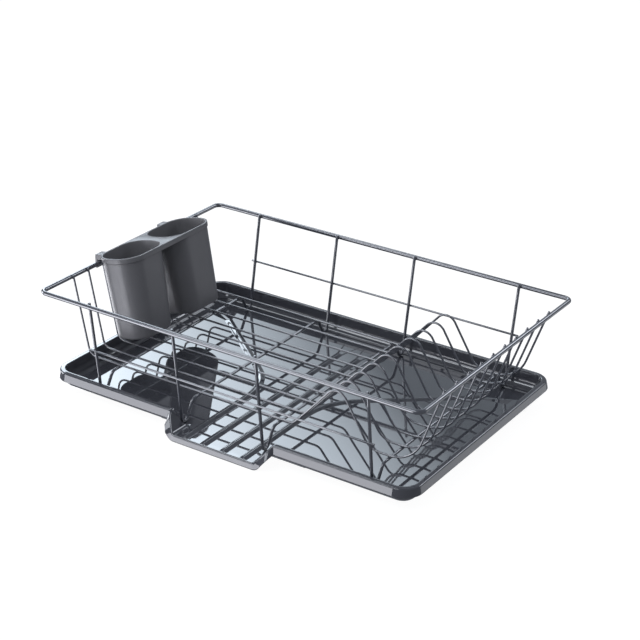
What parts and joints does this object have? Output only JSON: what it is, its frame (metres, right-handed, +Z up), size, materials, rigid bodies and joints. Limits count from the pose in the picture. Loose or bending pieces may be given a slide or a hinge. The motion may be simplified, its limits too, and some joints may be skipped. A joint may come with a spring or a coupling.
{
  "type": "dish drying rack",
  "caption": "Wire dish basket with plate arches, standing in a glossy drip tray with a drain spout, with a cutlery holder hooked over its rim.",
  "frame": {"origin": "centre of the tray's resting plane, on the underside of its middle stand rib", "axes": "+X towards the plate arches along the long side, -Y towards the drain spout, +Z up"},
  "size_m": [0.4966, 0.3388, 0.1479],
  "materials": {
    "wire": "satin grey coating with a slight metallic sheen",
    "tray": "high gloss moulded plastic",
    "holder": "fine matte moulded plastic"
  },
  "bodies": {
    "tray": {"drip_tray": "tray"},
    "rack": {"rim_wire": "wire", "cross_wire_1": "wire", "cross_wire_2": "wire", "cross_wire_3": "wire", "cross_wire_4": "wire", "front_rail": "wire", "back_rail": "wire", "long_wire_01": "wire", "long_wire_02": "wire", "long_wire_03": "wire", "long_wire_04": "wire", "long_wire_05": "wire", "long_wire_06": "wire", "long_wire_07": "wire", "long_wire_08": "wire", "long_wire_09": "wire", "long_wire_10": "wire"},
    "cutlery_holder": {"cutlery_holder": "holder"}
  },
  "joints": [
    {"name": "rack_lift", "type": "slide", "parent": "tray", "child": "rack", "axis": [0, 0, 1], "range_m": [0, 0.06]},
    {"name": "holder_lift", "type": "slide", "parent": "rack", "child": "cutlery_holder", "axis": [0, 0, 1], "range_m": [0, 0.12]}
  ]
}
